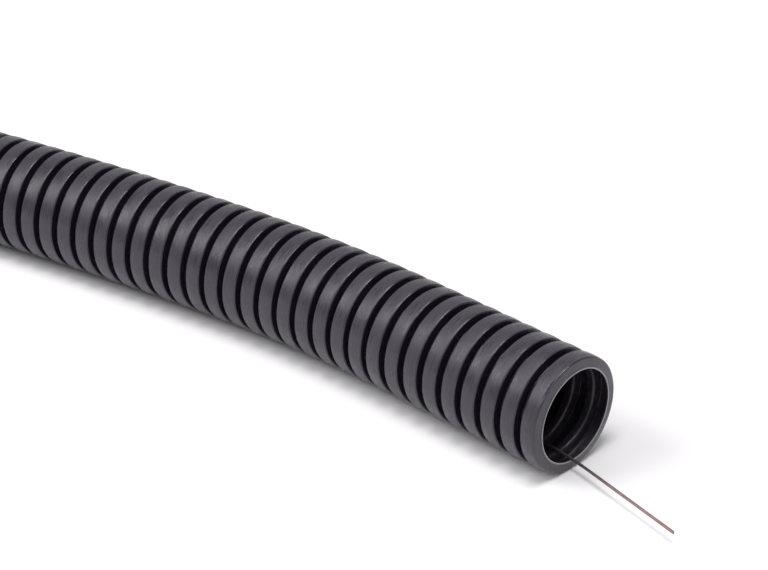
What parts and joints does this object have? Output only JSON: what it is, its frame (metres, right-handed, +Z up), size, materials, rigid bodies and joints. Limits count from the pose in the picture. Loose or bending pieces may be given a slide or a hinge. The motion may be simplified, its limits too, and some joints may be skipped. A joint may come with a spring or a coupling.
{
  "type": "corrugated conduit",
  "caption": "Length of flexible corrugated plastic conduit lying in a gentle curve, with a thin steel draw wire running through its bore and out of both open ends.",
  "frame": {"origin": "Middle of the part's box, on the floor that it lies on.", "axes": "+X is the front mouth's axis, pointing out of the mouth, and the longest extent; +Z is up; towards the rear mouth the conduit curves to -Y."},
  "size_m": [0.8866, 0.5122, 0.032],
  "materials": {
    "conduit_plastic": "satin",
    "wire_steel": "satin"
  },
  "bodies": {
    "root": {"conduit": "conduit_plastic", "draw_wire": "wire_steel"}
  },
  "joints": []
}
